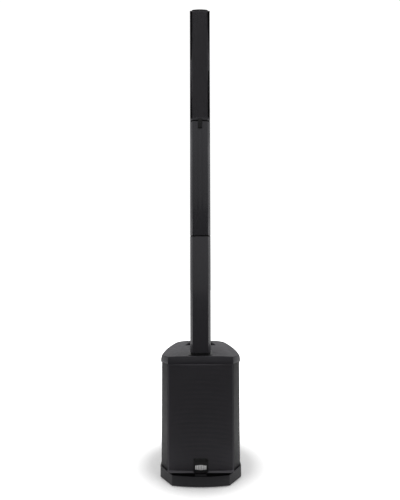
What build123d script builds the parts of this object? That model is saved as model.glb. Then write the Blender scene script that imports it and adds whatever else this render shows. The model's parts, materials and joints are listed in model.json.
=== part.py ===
"""Column loudspeaker system: a subwoofer base with a mixer on its back, two plug-in spacers and a slim array.

Frame: +Z up, the front faces -Y, the origin is on the floor under the middle of the base. Millimetres.
"""

from build123d import *
from math import cos, radians, sin
import os

os.makedirs("parts", exist_ok=True)

# ---------------------------------------------------------------- driving dimensions
BASE_HALF_DEPTH = 230.0      # plinth, front lip to back, halved
SHELL_HALF_WIDTH = 168.0     # cabinet at its widest
BEVEL_SLOPE = 1.4            # how far the front bevels run back for each mm they run out
FOOT_HEIGHT = 3.0
FLOOR_TOP = 12.0             # top of the plinth's floor, where the cabinet stands
RIM_TOP = 49.0               # plinth rim at the sides and back
LIP_TOP = 41.0               # plinth lip at the front
CAP_BOTTOM = 486.4
CAP_TOP = 518.0
COLLAR_TOP = 520.0
MODULE = 510.0               # visible height of each of the three column sections
COLUMN_HALF_WIDTH = 44.5
COLUMN_FRONT = -176.0
COLUMN_DEPTH = 120.0
PLUG_LENGTH = 54.0
SOCKET_DEPTH = 58.0
GAP = 0.3                    # assembly gap between pieces

# ---------------------------------------------------------------- worked-out places
SHELL_FRONT = -177.0
SHELL_FRONT_HALF = 140.0
SHELL_WALL = 7.0
FRONT_WALL_BACK = -160.0     # back of the thick front frame, where the baffle seats
SHELL_BACK = 224.0
COLUMN_MIDDLE = COLUMN_FRONT + COLUMN_DEPTH / 2
SEAM_LOW = COLLAR_TOP + MODULE
SEAM_HIGH = SEAM_LOW + MODULE
TOTAL_HEIGHT = SEAM_HIGH + MODULE
FRONT_PLANE = Plane.XZ       # local x is X and local y is Z; its normal faces the front


def keep(piece, label):
    """Names a finished piece and writes its file."""
    piece.part.label = label
    export_step(piece.part, f"parts/{label}.step")


def base_plan(front_half, front_y, bow, half_width, back_y):
    """Plan of the base: bowed front, flat bevels, sides that taper back and large rear corners."""
    grow = half_width - SHELL_HALF_WIDTH
    shoulder = (half_width, front_y + (half_width - front_half) * BEVEL_SLOPE)
    side_end = (127 + grow, 177)
    with BuildSketch() as plan:
        with BuildLine():
            Line((front_half, front_y), shoulder)
            ThreePointArc(shoulder, (158 + grow, 15), side_end)
            ThreePointArc(side_end, (112 + 0.7 * grow, 208 + 0.7 * grow), (88, back_y))
            Line((88, back_y), (0, back_y))
            mirror(about=Plane.YZ)
            if bow > 0:
                ThreePointArc((-front_half, front_y), (0, front_y - bow), (front_half, front_y))
            else:
                Line((-front_half, front_y), (front_half, front_y))
        make_face()
    return plan.sketch


def column_plan(inset=0.0):
    """Plan of the column: bowed front, two bevels, rounded back corners, shrunk by inset."""
    face_half, face_y, bevel_y, round_back = 33.5, COLUMN_FRONT + 2, COLUMN_FRONT + 16, 14.0
    back_y = COLUMN_FRONT + COLUMN_DEPTH
    corner_middle = round_back * (1 - cos(radians(45)))
    with BuildSketch() as plan:
        with BuildLine():
            Line((face_half, face_y), (COLUMN_HALF_WIDTH, bevel_y))
            Line((COLUMN_HALF_WIDTH, bevel_y), (COLUMN_HALF_WIDTH, back_y - round_back))
            ThreePointArc(
                (COLUMN_HALF_WIDTH, back_y - round_back),
                (COLUMN_HALF_WIDTH - corner_middle, back_y - corner_middle),
                (COLUMN_HALF_WIDTH - round_back, back_y),
            )
            Line((COLUMN_HALF_WIDTH - round_back, back_y), (0, back_y))
            mirror(about=Plane.YZ)
            ThreePointArc((-face_half, face_y), (0, COLUMN_FRONT), (face_half, face_y))
        make_face()
        if inset:
            offset(amount=-inset, kind=Kind.INTERSECTION)
    return plan.sketch


def turned(points, x=0.0, z=0.0):
    """Solid turned about the front-to-back axis through x and z, from (radius, y) points."""
    with BuildPart() as body:
        with BuildSketch(Plane.XY.offset(z)):
            with Locations((x, 0)):
                Polygon(*points, align=None)
        revolve(axis=Axis((x, 0, z), (0, 1, 0)))
    return body.part


def prism(plan, low, high):
    """A plan pulled up from height low to height high."""
    with BuildPart() as body:
        with BuildSketch(Plane.XY.offset(low)):
            add(plan)
        extrude(amount=high - low)
    return body.part


def block(x0, x1, y0, y1, z0, z1):
    """A plain block between two corners."""
    with BuildPart() as body:
        with Locations(((x0 + x1) / 2, (y0 + y1) / 2, (z0 + z1) / 2)):
            Box(x1 - x0, y1 - y0, z1 - z0)
    return body.part


# ---------------------------------------------------------------- plans used by several pieces
shell_plan = base_plan(SHELL_FRONT_HALF, SHELL_FRONT, 0, SHELL_HALF_WIDTH, SHELL_BACK)
plinth_plan = base_plan(117.5, -218.0, 12.0, SHELL_HALF_WIDTH + 4.2, BASE_HALF_DEPTH)
cap_plan = base_plan(139.0, -186.0, 3.0, SHELL_HALF_WIDTH + 3.8, 228.0)
feet_places = [(-105, -180), (105, -180), (-100, 172), (100, 172)]
corner_screws = ((140, -100), (140, 40), (50, -150), (45, 200))
base_screw_places = [(side * x, y) for side in (-1, 1) for x, y in corner_screws]

# ---------------------------------------------------------------- plinth, feet and their screws
with BuildPart() as plinth:
    with BuildSketch(Plane.XY.offset(FOOT_HEIGHT)):
        add(plinth_plan)
    extrude(amount=RIM_TOP - FOOT_HEIGHT)
    with BuildSketch(Plane.XY.offset(FLOOR_TOP)):
        add(shell_plan)
        offset(amount=GAP, kind=Kind.INTERSECTION)
    extrude(amount=RIM_TOP, mode=Mode.SUBTRACT)
    with BuildSketch(Plane.XY.offset(FLOOR_TOP)):
        add(plinth_plan)
        offset(amount=-3.9, kind=Kind.INTERSECTION)
        with Locations((0, 100)):
            Rectangle(400, 480, mode=Mode.SUBTRACT)
    extrude(amount=RIM_TOP, mode=Mode.SUBTRACT)
    with BuildSketch(Plane.YZ.offset(-200)):
        Polygon((-231, LIP_TOP), (-141, RIM_TOP), (-141, 60), (-231, 60), align=None)
    extrude(amount=400, mode=Mode.SUBTRACT)
    with Locations(*[(x, y, FOOT_HEIGHT) for x, y in feet_places]):
        Cylinder(16.3, 4, align=(Align.CENTER, Align.CENTER, Align.MIN), mode=Mode.SUBTRACT)
    with Locations(*[(x, y, FOOT_HEIGHT) for x, y in base_screw_places]):
        Cylinder(5, 3.5, align=(Align.CENTER, Align.CENTER, Align.MIN), mode=Mode.SUBTRACT)
        Cylinder(2.2, 20, align=(Align.CENTER, Align.CENTER, Align.MIN), mode=Mode.SUBTRACT)
    with BuildSketch(Plane.YZ.offset(-24)):
        Polygon((-194, 11), (-194, 31), (-189, 36), (-177.4, 36), (-177.4, 11), align=None)
    extrude(amount=48)
keep(plinth, "plinth")

with BuildPart() as rubber_feet:
    with Locations(*[(x, y, 0) for x, y in feet_places]):
        Cylinder(16, FOOT_HEIGHT + 3.9, align=(Align.CENTER, Align.CENTER, Align.MIN))
    chamfer(rubber_feet.faces().group_by(Axis.Z)[0].edges(), 1.2)
keep(rubber_feet, "rubber_feet")

with BuildPart() as base_screws:
    with Locations(*[(x, y, FOOT_HEIGHT + 0.6) for x, y in base_screw_places]):
        Cylinder(4.6, 2.8, align=(Align.CENTER, Align.CENTER, Align.MIN))
        Cylinder(2, 15, align=(Align.CENTER, Align.CENTER, Align.MIN))
    with Locations(*[(x, y, FOOT_HEIGHT + 0.6) for x, y in base_screw_places]):
        Box(5, 1, 2, align=(Align.CENTER, Align.CENTER, Align.MIN), mode=Mode.SUBTRACT)
        Box(1, 5, 2, align=(Align.CENTER, Align.CENTER, Align.MIN), mode=Mode.SUBTRACT)
keep(base_screws, "base_screws")

# ---------------------------------------------------------------- cabinet shell
PAN_HALF, PAN_LOW, PAN_HIGH, PAN_FLOOR = 92.0, 108.0, 428.0, 200.0   # the sunk control panel
GRIP_HALF, GRIP_FRONT, GRIP_BACK, GRIP_FLOOR = 84.0, 80.0, 217.0, 446.0   # space behind the hand
WINDOW_HALF, WINDOW_LOW, WINDOW_HIGH = 132.0, 32.0, 474.0
COLUMN_NOTCH = 39.2          # half width of the cut that lets the column socket through the front frame

with BuildPart() as cabinet_shell:
    add(prism(shell_plan, FLOOR_TOP, CAP_BOTTOM - 0.2))
    with BuildSketch(Plane.XY.offset(FLOOR_TOP + 8)):
        add(shell_plan)
        offset(amount=-SHELL_WALL, kind=Kind.INTERSECTION)
        with Locations((0, FRONT_WALL_BACK - 50)):
            Rectangle(400, 100, mode=Mode.SUBTRACT)
    extrude(amount=600, mode=Mode.SUBTRACT)
    add(block(-WINDOW_HALF, WINDOW_HALF, -190, -150, WINDOW_LOW, WINDOW_HIGH), mode=Mode.SUBTRACT)
    add(block(-COLUMN_NOTCH, COLUMN_NOTCH, -190, -150, WINDOW_HIGH - 20, 520), mode=Mode.SUBTRACT)
    add(block(-PAN_HALF - 0.2, PAN_HALF + 0.2, 190, 260, PAN_LOW - 0.2, PAN_HIGH + 0.2), mode=Mode.SUBTRACT)
    add(block(-74, 74, 205, 260, GRIP_FLOOR, 520), mode=Mode.SUBTRACT)
    with Locations(*[(x, y, FLOOR_TOP) for x, y in base_screw_places]):
        Cylinder(2.1, 20, mode=Mode.SUBTRACT)
keep(cabinet_shell, "cabinet_shell")

# ---------------------------------------------------------------- front baffle, ports and brace
WOOFER_Z, WOOFER_RADIUS = 312.0, 126.0
PORT_X, PORT_Z = 72.0, 103.0
BAFFLE_BACK = -144.8
baffle_screw_angles = [22.5 + 45 * n for n in range(8)]
woofer_screw_places = [(117 * cos(radians(a)), WOOFER_Z + 117 * sin(radians(a))) for a in baffle_screw_angles]

with BuildPart() as front_baffle:
    with BuildSketch(Plane.XY.offset(FLOOR_TOP + 8.3)):
        add(shell_plan)
        offset(amount=-SHELL_WALL - GAP, kind=Kind.INTERSECTION)
        with Locations((0, FRONT_WALL_BACK + 0.2 - 50)):
            Rectangle(400, 100, mode=Mode.SUBTRACT)
        with Locations((0, BAFFLE_BACK + 200)):
            Rectangle(400, 400, mode=Mode.SUBTRACT)
    extrude(amount=CAP_BOTTOM - 1 - FLOOR_TOP - 8.3)
    add(block(-COLUMN_NOTCH, COLUMN_NOTCH, -170, -140, 457, 520), mode=Mode.SUBTRACT)
    with BuildSketch(FRONT_PLANE.offset(170)):
        with Locations((0, WOOFER_Z)):
            Circle(112)
        with Locations((-PORT_X, PORT_Z), (PORT_X, PORT_Z)):
            Circle(34.2)
        with Locations(*woofer_screw_places):
            Circle(2.2)
    extrude(amount=-40, mode=Mode.SUBTRACT)
keep(front_baffle, "front_baffle")

with BuildPart() as port_tubes:
    with BuildSketch(FRONT_PLANE.offset(163)):
        with Locations((-PORT_X, PORT_Z), (PORT_X, PORT_Z)):
            Circle(40)
    extrude(amount=-3)
    with BuildSketch(FRONT_PLANE.offset(163)):
        with Locations((-PORT_X, PORT_Z), (PORT_X, PORT_Z)):
            Circle(34)
    extrude(amount=-125)
    with BuildSketch(FRONT_PLANE.offset(164)):
        with Locations((-PORT_X, PORT_Z), (PORT_X, PORT_Z)):
            Circle(31)
    extrude(amount=-130, mode=Mode.SUBTRACT)
    fillet(port_tubes.edges().filter_by(GeomType.CIRCLE).group_by(Axis.Y)[0].sort_by(SortBy.RADIUS)[:2], 2.5)
keep(port_tubes, "port_tubes")

with BuildPart() as cabinet_brace:
    with BuildSketch(FRONT_PLANE.offset(-20)):
        with Locations((0, 230)):
            RectangleRounded(296, 400, 10)
        for x in (-68, 68):
            for z in (90, 215, 355):
                with Locations((x, z)):
                    RectangleRounded(100, 100, 20, mode=Mode.SUBTRACT)
    extrude(amount=-12)
keep(cabinet_brace, "cabinet_brace")

# ---------------------------------------------------------------- woofer
FLANGE_FRONT = FRONT_WALL_BACK - 3.8
basket_wall = turned(
    [(108, FRONT_WALL_BACK), (WOOFER_RADIUS, FRONT_WALL_BACK), (WOOFER_RADIUS, FLANGE_FRONT),
     (104, FLANGE_FRONT), (104, FRONT_WALL_BACK + 6), (98, -140), (50, -97), (30, -97), (30, -93), (56, -93),
     (101, -137), (108, -152)],
    z=WOOFER_Z,
)
with BuildPart() as woofer_basket:
    add(basket_wall)
    for spoke in range(6):
        with BuildSketch(FRONT_PLANE.offset(144)):
            with Locations((0, WOOFER_Z)):
                with PolarLocations(76, 1, start_angle=60 * spoke + 30):
                    SlotOverall(54, 32, rotation=90)
        extrude(amount=-60, mode=Mode.SUBTRACT)
    with BuildSketch(FRONT_PLANE.offset(170)):
        with Locations(*woofer_screw_places):
            Circle(2.4)
    extrude(amount=-12, mode=Mode.SUBTRACT)
keep(woofer_basket, "woofer_basket")

with BuildPart() as woofer_magnet:
    add(turned([(27.5, -92.8), (62, -92.8), (62, -84.8), (27.5, -84.8)], z=WOOFER_Z))
    add(turned([(34, -84.6), (66, -84.6), (66, -64.6), (34, -64.6)], z=WOOFER_Z))
    add(turned([(0, -92), (24, -92), (24, -64.4), (62, -64.4), (62, -56), (0, -56)], z=WOOFER_Z))
keep(woofer_magnet, "woofer_magnet")

with BuildPart() as woofer_surround:
    with BuildSketch(Plane.XY.offset(WOOFER_Z)):
        with BuildLine():
            ThreePointArc((93, -164.2), (98, -170), (103, -164.2))
            Line((103, -164.2), (109, -164.2))
            Line((109, -164.2), (109, -165.6))
            Line((109, -165.6), (104.4, -165.6))
            ThreePointArc((104.4, -165.6), (98, -171.4), (91.6, -165.6))
            Line((91.6, -165.6), (88, -165.6))
            Line((88, -165.6), (88, -164.2))
            Line((88, -164.2), (93, -164.2))
        make_face()
    revolve(axis=Axis((0, 0, WOOFER_Z), (0, 1, 0)))
keep(woofer_surround, "woofer_surround")

with BuildPart() as woofer_spider:
    add(turned([(27.4, -111), (32, -111), (36, -108), (40, -111), (44, -108), (48, -111), (52, -108),
                (52, -107), (48, -109.8), (44, -106.8), (40, -109.8), (36, -106.8), (32, -109.8),
                (27.4, -109.8)], z=WOOFER_Z))
keep(woofer_spider, "woofer_spider")

with BuildPart() as woofer_cone:
    add(turned([(26.4, -118), (91, -163), (91, -163.9), (94.6, -163.9), (94.6, -162.6), (92, -161.4),
                (27.6, -116.4), (26.4, -116.4)], z=WOOFER_Z))
    add(turned([(0, -146), (14, -144.3), (26, -139.6), (36, -131.4), (38.4, -127), (37.2, -125.6),
                (35, -130.2), (25.4, -138.2), (13.8, -142.8), (0, -144.5)], z=WOOFER_Z))
    add(turned([(24.9, -117.6), (26.1, -117.6), (26.1, -96), (26.9, -96), (26.9, -80), (24.9, -80)],
               z=WOOFER_Z))
keep(woofer_cone, "woofer_cone")

with BuildPart() as woofer_screws:
    with BuildSketch(FRONT_PLANE.offset(-FLANGE_FRONT + 0.1)):
        with Locations(*woofer_screw_places):
            Circle(4.2)
    extrude(amount=2.6)
    with BuildSketch(FRONT_PLANE.offset(-FLANGE_FRONT + 0.1)):
        with Locations(*woofer_screw_places):
            Circle(2)
    extrude(amount=-16)
    with BuildSketch(FRONT_PLANE.offset(-FLANGE_FRONT + 1.4)):
        with Locations(*woofer_screw_places):
            RegularPolygon(2, 6)
    extrude(amount=2, mode=Mode.SUBTRACT)
keep(woofer_screws, "woofer_screws")

# ---------------------------------------------------------------- grille and badge
GRILLE_HALF, GRILLE_LOW, GRILLE_HIGH, GRILLE_BOW, GRILLE_SHEET = 138.8, 42.5, 485.8, 11.5, 1.6
GRILLE_EDGE = SHELL_FRONT - 0.3


def grille_slice(shrink):
    """Plan of the grille pan: flat behind, bowed in front, shrunk on its front and sides."""
    half, front = GRILLE_HALF - shrink, GRILLE_EDGE - 3.2 + shrink
    with BuildSketch() as plan:
        with BuildLine():
            ThreePointArc((-half, front), (0, front - GRILLE_BOW), (half, front))
            Polyline((half, front), (half, GRILLE_EDGE), (-half, GRILLE_EDGE), (-half, front))
        make_face()
    return plan.sketch


with BuildPart() as woofer_grille:
    add(prism(grille_slice(0), GRILLE_LOW, GRILLE_HIGH))
    hollow = prism(grille_slice(GRILLE_SHEET), GRILLE_LOW + GRILLE_SHEET, GRILLE_HIGH - GRILLE_SHEET)
    add(hollow, mode=Mode.SUBTRACT)
keep(woofer_grille, "woofer_grille")

BADGE_FRONT = 196.4
with BuildPart() as badge_plate:
    with BuildSketch(FRONT_PLANE.offset(192.3)):
        with Locations((0, 72)):
            RectangleRounded(61, 59, 6)
    extrude(amount=BADGE_FRONT - 192.3)
    chamfer(badge_plate.faces().sort_by(Axis.Y)[0].edges(), 1.6)
    with BuildSketch(FRONT_PLANE.offset(BADGE_FRONT)):
        with Locations((0, 64)):
            RectangleRounded(52, 28, 3)
        with Locations((0, 94)):
            SlotOverall(42, 4.4)
    extrude(amount=-1.2, mode=Mode.SUBTRACT)
keep(badge_plate, "badge_plate")

with BuildPart() as badge_emblem:
    for n, height in enumerate((16, 18, 20, 21, 20, 18, 16)):
        with BuildSketch(FRONT_PLANE.offset(BADGE_FRONT - 1.1)):
            with Locations((-20.4 + 6.8 * n, 64.5)):
                RectangleRounded(5.6, height, 1.6)
        extrude(amount=1.4)
keep(badge_emblem, "badge_emblem")

# ---------------------------------------------------------------- top cap and handle
CREASE_SLOPE = 3.5           # degrees that the top falls away outside the middle panel
with BuildPart() as top_cap:
    with BuildSketch(Plane.XY.offset(CAP_BOTTOM)):
        add(cap_plan)
    extrude(amount=12)
    with BuildSketch(Plane.XY.offset(CAP_BOTTOM + 12)):
        add(cap_plan)
    extrude(amount=CAP_TOP - CAP_BOTTOM - 12, taper=11)
    for side in (1, -1):
        along = (side * -20, 279, 0)
        crease = Plane(origin=(side * 102, -200, CAP_TOP), x_dir=(side * 279, 20, 0), z_dir=along)
        with BuildSketch(crease):
            drop = 120 * sin(radians(CREASE_SLOPE))
            Polygon((0, 0), (120, side * drop), (120, side * -20), (0, side * -20), align=None)
        extrude(amount=460, mode=Mode.SUBTRACT)
    fillet(top_cap.edges().filter_by(lambda e: e.center().Z > CAP_TOP - 8 and e.length < 400), 2.5)
    with BuildSketch(Plane.XY.offset(CAP_BOTTOM)):
        add(cap_plan)
        offset(amount=-6, kind=Kind.INTERSECTION)
        with Locations((0, 172)):
            Rectangle(186, 200, mode=Mode.SUBTRACT)
    extrude(amount=21.6, mode=Mode.SUBTRACT)
    with BuildSketch(Plane.XY.offset(CAP_BOTTOM - 1)):
        Polygon((-77, 85), (77, 85), (56, 177), (-56, 177), align=None)
        fillet(vertices().group_by(Axis.Y)[0], 7)
        fillet(vertices().group_by(Axis.Y)[-1], 6)
    extrude(amount=50, mode=Mode.SUBTRACT)
    with BuildSketch(Plane.XY.offset(CAP_BOTTOM)):
        add(column_plan(5.2))
    extrude(amount=50, mode=Mode.SUBTRACT)
    flat_edges = top_cap.edges().filter_by(lambda e: abs(e.center().Z - CAP_TOP) < 0.1)
    fillet(flat_edges.filter_by(lambda e: abs(e.center().X) < 82 and 83 < e.center().Y < 178), 3)
keep(top_cap, "top_cap")

with BuildPart() as handle_cup:
    outer = GRIP_HALF + 3
    add(block(-outer, outer, GRIP_FRONT - 3, GRIP_BACK - 0.4, GRIP_FLOOR - 3, CAP_BOTTOM - 0.3))
    inner = block(-GRIP_HALF, GRIP_HALF, GRIP_FRONT, GRIP_BACK + 5, GRIP_FLOOR, CAP_BOTTOM + 5)
    add(inner, mode=Mode.SUBTRACT)
    with BuildSketch(Plane.XY.offset(GRIP_FLOOR - 10)):
        add(shell_plan)
        offset(amount=-SHELL_WALL - GAP, kind=Kind.INTERSECTION)
    extrude(amount=100, mode=Mode.INTERSECT)
    fillet(handle_cup.edges().filter_by(Axis.X).group_by(Axis.Z)[1], 2)
keep(handle_cup, "handle_cup")


# ---------------------------------------------------------------- sockets, plugs and contacts of the column
PIN_PLACES = [(x, COLUMN_MIDDLE + y) for x in (-7, 7) for y in (-18, -6, 6, 18)]


def socket_body(top, flange_plan, flange):
    """Socket that a section plugs into: a flange, a well below it and a floor with pin holes."""
    with BuildPart() as body:
        add(prism(flange_plan, top - flange, top))
        add(prism(column_plan(5.6), top - SOCKET_DEPTH - 3, top))
        add(prism(column_plan(8.1), top - SOCKET_DEPTH, top + 1), mode=Mode.SUBTRACT)
        with Locations(*[(x, y, top - SOCKET_DEPTH) for x, y in PIN_PLACES]):
            Cylinder(1.6, 10, mode=Mode.SUBTRACT)
    return body


def pin_block(top):
    """Contact block under a socket's floor, with pins that stand up into the socket."""
    floor = top - SOCKET_DEPTH
    with BuildPart() as body:
        add(block(-17, 17, COLUMN_MIDDLE - 27, COLUMN_MIDDLE + 27, floor - 12, floor - 3.2))
        with Locations(*[(x, y, floor - 5) for x, y in PIN_PLACES]):
            Cylinder(1.3, 18, align=(Align.CENTER, Align.CENTER, Align.MIN))
    return body.part


def plug_body(low, ring):
    """End moulding: a sunk shadow ring, a hollow plug below it and a spigot that holds the tube."""
    with BuildPart() as body:
        add(prism(column_plan(2.0), low, low + ring))
        add(prism(column_plan(3.9), low + ring, low + ring + 26))
        add(prism(column_plan(8.5), low - PLUG_LENGTH, low))
        add(prism(column_plan(11.0), low - PLUG_LENGTH + 3, low + ring + 40), mode=Mode.SUBTRACT)
        contacts = block(-15.3, 15.3, COLUMN_MIDDLE - 25.3, COLUMN_MIDDLE + 25.3, low - 60, low - 40)
        add(contacts, mode=Mode.SUBTRACT)
        chamfer(body.faces().sort_by(Axis.Z)[0].outer_wire().edges(), 1.5)
    return body


def hole_block(low):
    """Contact block in a plug's end, with a hole for each pin."""
    end = low - PLUG_LENGTH
    with BuildPart() as body:
        add(block(-15, 15, COLUMN_MIDDLE - 25, COLUMN_MIDDLE + 25, end + 0.2, end + 16))
        with Locations(*[(x, y, end) for x, y in PIN_PLACES]):
            Cylinder(1.7, 26, mode=Mode.SUBTRACT)
    return body.part


def cable(low, high):
    """The lead inside a section, from its lower contact block to its upper end."""
    with BuildPart() as body:
        with Locations((0, COLUMN_MIDDLE, low)):
            Cylinder(4.5, high - low, align=(Align.CENTER, Align.CENTER, Align.MIN))
    return body.part


column_socket = socket_body(COLLAR_TOP, column_plan(-6.0), COLLAR_TOP - CAP_TOP - 0.1)
keep(column_socket, "column_socket")

with BuildPart() as socket_pins:
    add(pin_block(COLLAR_TOP))
keep(socket_pins, "socket_pins")

LATCH_LOW, LATCH_TONGUE, LATCH_HALF, LATCH_POCKET = SEAM_HIGH - 34, 9.0, 9.0, 2.5
latch_pocket = block(-LATCH_HALF - 0.6, LATCH_HALF + 0.6, COLUMN_FRONT - 5, COLUMN_FRONT + LATCH_POCKET,
                     LATCH_LOW - 0.6, SEAM_HIGH + LATCH_TONGUE + 0.6)
latch_hole = block(-5, 5, COLUMN_FRONT - 5, COLUMN_FRONT + 5, LATCH_LOW + 6, LATCH_LOW + 24)

for section, low, ring in (("lower_spacer", COLLAR_TOP, 10.0), ("upper_spacer", SEAM_LOW, 4.0)):
    high = low + MODULE
    with BuildPart() as tube:
        add(prism(column_plan(), low + ring, high - 2))
        add(prism(column_plan(3.5), low, high + 1), mode=Mode.SUBTRACT)
        if section == "upper_spacer":
            add(latch_pocket, mode=Mode.SUBTRACT)
            add(latch_hole, mode=Mode.SUBTRACT)
    keep(tube, f"{section}_tube")
    plug = plug_body(low + 0.05, ring - 0.1)
    keep(plug, f"{section}_plug")
    socket = socket_body(high, column_plan(0.4), 2 - 0.1)
    if section == "upper_spacer":
        with BuildPart() as notched:
            add(socket.part)
            add(latch_pocket, mode=Mode.SUBTRACT)
        socket = notched
    keep(socket, f"{section}_socket")
    with BuildPart() as wiring:
        add(hole_block(low))
        add(pin_block(high))
        add(cable(low - PLUG_LENGTH + 16.2, high - SOCKET_DEPTH - 12.2))
    keep(wiring, f"{section}_wiring")

with BuildPart() as latch_button:
    with BuildSketch(FRONT_PLANE.offset(175.6)):
        with Locations((0, (LATCH_LOW + SEAM_HIGH + LATCH_TONGUE) / 2)):
            RectangleRounded(2 * LATCH_HALF, SEAM_HIGH + LATCH_TONGUE - LATCH_LOW, 7)
    extrude(amount=1.8)
    chamfer(latch_button.faces().sort_by(Axis.Y)[0].edges(), 1.4)
    with BuildSketch(FRONT_PLANE.offset(177)):
        with Locations((0, LATCH_LOW + 13)):
            SlotOverall(20, 12, rotation=90)
    extrude(amount=1.6)
    fillet(latch_button.faces().sort_by(Axis.Y)[0].edges(), 0.8)
    add(block(-4, 4, -176, -172.5, LATCH_LOW + 7, LATCH_LOW + 23))
keep(latch_button, "latch_button")

# ---------------------------------------------------------------- array
DRIVER_COUNT, DRIVER_PITCH = 6, 78.0
WINDOW_BOTTOM, WINDOW_TOP = SEAM_HIGH + 12, TOTAL_HEIGHT - 10.5
GRILLE_BACK = COLUMN_FRONT + 16.0   # the grille wraps the front and both bevels, back to here
LOWEST_DRIVER = (WINDOW_BOTTOM + WINDOW_TOP) / 2 - DRIVER_PITCH * (DRIVER_COUNT - 1) / 2
driver_heights = [LOWEST_DRIVER + DRIVER_PITCH * n for n in range(DRIVER_COUNT)]
driver_screw_places = [(sx * 26, z + sz * 29) for z in driver_heights for sx in (-1, 1) for sz in (-1, 1)]

with BuildPart() as array_housing:
    add(prism(column_plan(), SEAM_HIGH + 4, TOTAL_HEIGHT - 8))
    add(prism(column_plan(3.5), SEAM_HIGH, TOTAL_HEIGHT), mode=Mode.SUBTRACT)
    add(block(-50, 50, COLUMN_FRONT - 5, GRILLE_BACK + 0.5, WINDOW_BOTTOM, WINDOW_TOP), mode=Mode.SUBTRACT)
    add(latch_pocket, mode=Mode.SUBTRACT)
keep(array_housing, "array_housing")

CROWN_RADIUS = 382.0
with BuildPart() as array_top_cap:
    add(prism(column_plan(), TOTAL_HEIGHT - 7.9, TOTAL_HEIGHT + 1))
    with Locations(Location((0, COLUMN_MIDDLE, TOTAL_HEIGHT - CROWN_RADIUS), (90, 0, 0))):
        Cylinder(CROWN_RADIUS, 200, mode=Mode.INTERSECT)
    fillet(array_top_cap.edges().filter_by(lambda e: e.center().Z > TOTAL_HEIGHT - 5), 2)
    add(prism(column_plan(3.9), TOTAL_HEIGHT - 22, TOTAL_HEIGHT - 7.9))
    add(prism(column_plan(6.4), TOTAL_HEIGHT - 23, TOTAL_HEIGHT - 9), mode=Mode.SUBTRACT)
    add(block(-50, 50, COLUMN_FRONT, -153, TOTAL_HEIGHT - 23, TOTAL_HEIGHT - 10.4), mode=Mode.SUBTRACT)
keep(array_top_cap, "array_top_cap")

array_plug_raw = plug_body(SEAM_HIGH + 0.05, 3.9)
with BuildPart() as array_plug:
    add(array_plug_raw.part)
    add(latch_pocket, mode=Mode.SUBTRACT)
    add(block(-50, 50, COLUMN_FRONT, -153, WINDOW_BOTTOM - 0.1, SEAM_HIGH + 50), mode=Mode.SUBTRACT)
keep(array_plug, "array_plug")

with BuildPart() as array_wiring:
    add(hole_block(SEAM_HIGH))
    add(cable(SEAM_HIGH - PLUG_LENGTH + 16.2, TOTAL_HEIGHT - 60))
keep(array_wiring, "array_wiring")

BAFFLE_FACE = 170.0
with BuildPart() as array_baffle:
    with BuildSketch(Plane.XY.offset(WINDOW_BOTTOM)):
        with BuildLine():
            Polyline((0, -170), (34, -170), (39.6, -158), (39.6, -154), (36, -154), (31.5, -166), (0, -166))
            mirror(about=Plane.YZ)
        make_face()
    extrude(amount=WINDOW_TOP - WINDOW_BOTTOM)
    with BuildSketch(FRONT_PLANE.offset(BAFFLE_FACE + 1)):
        with Locations(*[(0, z) for z in driver_heights]):
            Circle(27)
        with Locations(*driver_screw_places):
            Circle(1.4)
    extrude(amount=-8, mode=Mode.SUBTRACT)
keep(array_baffle, "array_baffle")

with BuildPart() as array_drivers:
    for z in driver_heights:
        with BuildSketch(FRONT_PLANE.offset(BAFFLE_FACE + 0.1)):
            with Locations((0, z)):
                RectangleRounded(60, 66, 6)
                Circle(25, mode=Mode.SUBTRACT)
            with Locations(*[(sx * 26, z + sz * 29) for sx in (-1, 1) for sz in (-1, 1)]):
                Circle(1.5, mode=Mode.SUBTRACT)
        extrude(amount=1.2)
for z in driver_heights:
    shell = turned([(25.2, -170.1), (26.8, -170.1), (26.8, -166), (17, -146), (21, -146), (21, -130),
                    (0, -130), (0, -140), (8.4, -140), (8.4, -146), (15.4, -146), (25.2, -166)], z=z)
    with BuildPart() as joined:
        add(array_drivers.part)
        add(shell)
    array_drivers = joined
keep(array_drivers, "array_drivers")

cone_parts, surround_parts = [], []
for z in driver_heights:
    cone_parts.append(turned([(0, -160.4), (7, -162.4), (7, -156), (20, -169.2), (20.6, -169.2), (20.6, -168),
                              (8, -154.6), (8, -142), (7.2, -142), (7.2, -154.2), (0, -154.2)], z=z))
    surround_parts.append(turned([(21, -169.4), (22, -171.6), (24.2, -171.6), (25, -169.4), (24.4, -169.4),
                                  (23.7, -170.8), (22.5, -170.8), (21.6, -169.4)], z=z))
with BuildPart() as array_cones:
    for piece in cone_parts:
        add(piece)
keep(array_cones, "array_cones")
with BuildPart() as array_surrounds:
    for piece in surround_parts:
        add(piece)
keep(array_surrounds, "array_surrounds")

with BuildPart() as array_screws:
    with BuildSketch(FRONT_PLANE.offset(BAFFLE_FACE + 1.4)):
        with Locations(*driver_screw_places):
            Circle(2.4)
    extrude(amount=1)
    with BuildSketch(FRONT_PLANE.offset(BAFFLE_FACE + 1.4)):
        with Locations(*driver_screw_places):
            Circle(1.2)
    extrude(amount=-7)
keep(array_screws, "array_screws")

with BuildPart() as array_grille:
    add(prism(column_plan(), WINDOW_BOTTOM + GAP, WINDOW_TOP - GAP))
    add(prism(column_plan(1.4), WINDOW_BOTTOM + 1.6, WINDOW_TOP - 1.6), mode=Mode.SUBTRACT)
    add(block(-50, 50, COLUMN_FRONT - 5, GRILLE_BACK, SEAM_HIGH, TOTAL_HEIGHT), mode=Mode.INTERSECT)
    add(block(-50, 50, -170.3, GRILLE_BACK + 1, WINDOW_BOTTOM - 1, WINDOW_BOTTOM + 2), mode=Mode.SUBTRACT)
    add(block(-50, 50, -170.3, GRILLE_BACK + 1, WINDOW_TOP - 2, WINDOW_TOP + 1), mode=Mode.SUBTRACT)
keep(array_grille, "array_grille")

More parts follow.
